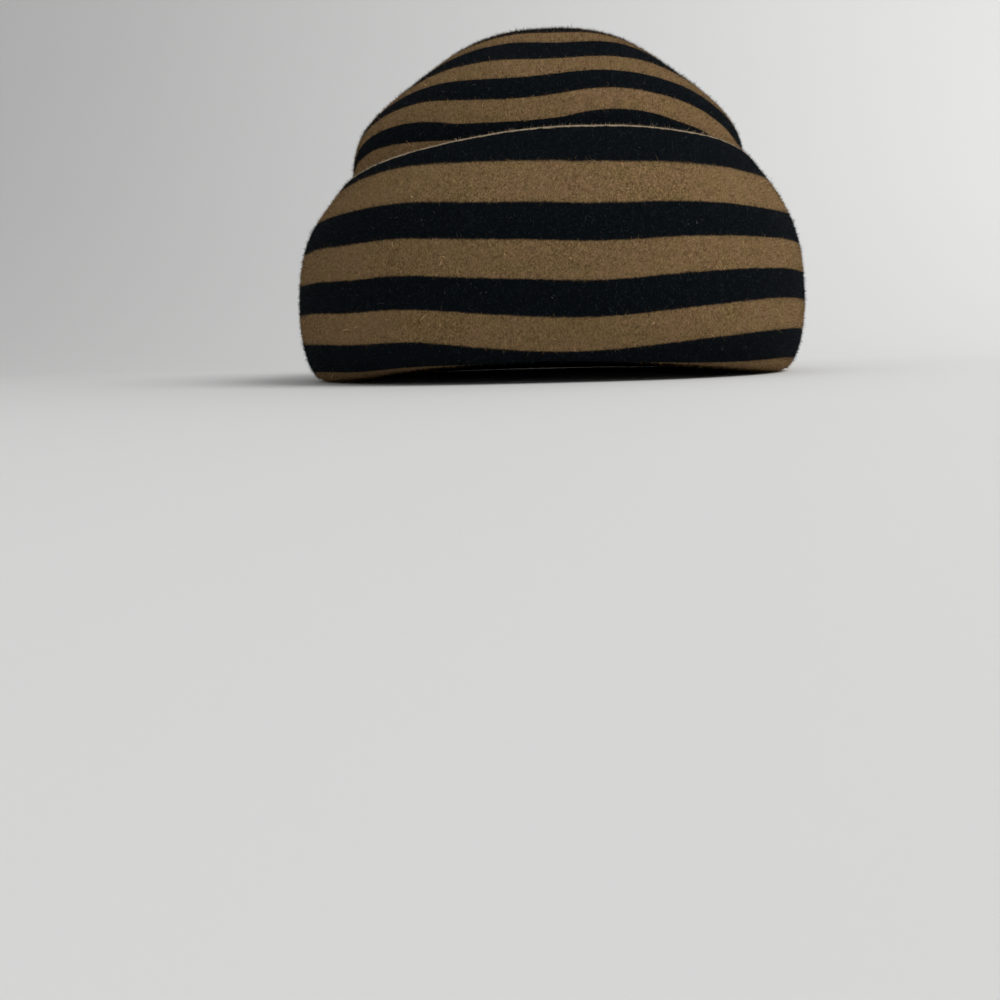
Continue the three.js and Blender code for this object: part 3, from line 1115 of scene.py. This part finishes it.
# %% [markdown]
# ## Stitches
# One running stitch holds the ribbon near its upper edge, and a short row holds each end of the
# label. A stitch is modelled once, as a stretched ball that is flattened where it lies on the
# cloth, and its copies are set along the line as one joined mesh.

# %% One stitch, and rows of it
RIBBON_STITCH = dict(below_top=2.2, every=5.2, length=3.0, across=0.42)
LABEL_STITCH = dict(from_end=1.3, from_side=1.2, every=1.7, length=1.2, across=0.3, raised=0.1)
STITCH_FLATNESS = 0.6
STITCH_RUN = 0.01


def model_stitch():
    bpy.ops.object.select_all(action="DESELECT")
    bpy.ops.mesh.primitive_uv_sphere_add(segments=8, ring_count=6, radius=0.5)
    stitch = bpy.context.object
    bpy.ops.object.mode_set(mode="EDIT")
    bpy.ops.mesh.select_all(action="SELECT")
    bpy.ops.transform.resize(value=(1, 1, STITCH_FLATNESS))
    bpy.ops.object.mode_set(mode="OBJECT")
    settle_order(stitch)
    points = points_of(stitch)
    faces = [tuple(face.vertices) for face in stitch.data.polygons]
    bpy.data.objects.remove(stitch)
    return points, faces


def stitch_row(name, places, row):
    """places: for each stitch its middle, the way it runs and the way it faces."""
    length, across = row["length"], row["across"]
    points, faces = model_stitch()
    bpy.ops.object.select_all(action="DESELECT")
    all_points, all_faces = [], []
    for middle, run, face in places:
        run = (run - face * run.dot(face)).normalized()
        axes = np.array([run * length * MM, face.cross(run) * across * MM, face * across * MM])
        all_faces += [tuple(i + len(all_points) for i in corner) for corner in faces]
        all_points += (points @ axes + np.array(middle)).tolist()
    mesh = bpy.data.meshes.new(name)
    mesh.from_pydata(all_points, [], all_faces)
    piece = bpy.data.objects.new(name, mesh)
    bpy.context.scene.collection.objects.link(piece)
    bpy.context.view_layer.objects.active = piece
    piece.select_set(True)
    bpy.ops.object.shade_smooth()
    return piece


def stitch_place(turn, height, distance):
    middle = on_wall(turn, height, distance)
    run = on_wall(turn + STITCH_RUN, height, distance) - middle
    return middle, run, Vector((-middle.x, -middle.y, 0)).normalized()


def ribbon_places():
    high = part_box("sweatband")[1].z - RIBBON_STITCH["below_top"] * MM
    top = (RIBBON["seat"] + RIBBON["thickness"] + 2 * RIBBON["rib_depth"]) * MM
    reach = sum(on_wall(a, high, top).xy.length for a in (0, math.pi / 2)) / 2
    count = int(2 * math.pi * reach / (RIBBON_STITCH["every"] * MM))
    return [stitch_place(turn, high, top) for turn in np.linspace(0, 2 * math.pi, count, endpoint=False)]


def label_places():
    low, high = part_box("label")
    top = (LABEL["seat"] + LABEL["thickness"]) * MM + LABEL_STITCH["raised"] * MM
    half = LABEL["width"] / 2 - LABEL_STITCH["from_side"]
    end = LABEL_STITCH["from_end"] * MM
    across = np.arange(-half, half, LABEL_STITCH["every"])
    return [stitch_place(label_turn(x), z, top) for z in (low.z + end, high.z - end) for x in across]


ribbon_stitches = stitch_row("ribbon_stitches", ribbon_places(), RIBBON_STITCH)
label_stitches = stitch_row("label_stitches", label_places(), LABEL_STITCH)
print("stitch faces:", len(ribbon_stitches.data.polygons), len(label_stitches.data.polygons))

# %% Thread
THREAD = dict(
    flecks=dict(width=0.12, length=0.3),
    bump=dict(strength=0.5, rise=0.06),
    Roughness=0.6,
    Specular_IOR_Level=0.35,
)
black_thread = woven_finish("black_thread", (0.008, 0.009, 0.011), (0.03, 0.032, 0.036), **THREAD)
grey_thread = woven_finish("grey_thread", (0.13, 0.134, 0.128), (0.22, 0.225, 0.215), **THREAD)
ribbon_stitches.data.materials.append(black_thread)
label_stitches.data.materials.append(grey_thread)
print("finishes:", black_thread.name, grey_thread.name)

# %% [markdown]
# ## Joining the frame
# Each piece rides on the hat's one body, and the imported solids that the pieces stand in for are
# hidden. The ribbon and the label are flat cloth, cut to size. The felt was blocked to its form and
# never hung as a sheet.

# %% Ride and replace
for piece in [felt, *nap_pieces, ribbon, ribbon_stitches, label, label_stitches]:
    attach(piece, "root")
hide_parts("felt_body")
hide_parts("sweatband")
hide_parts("label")
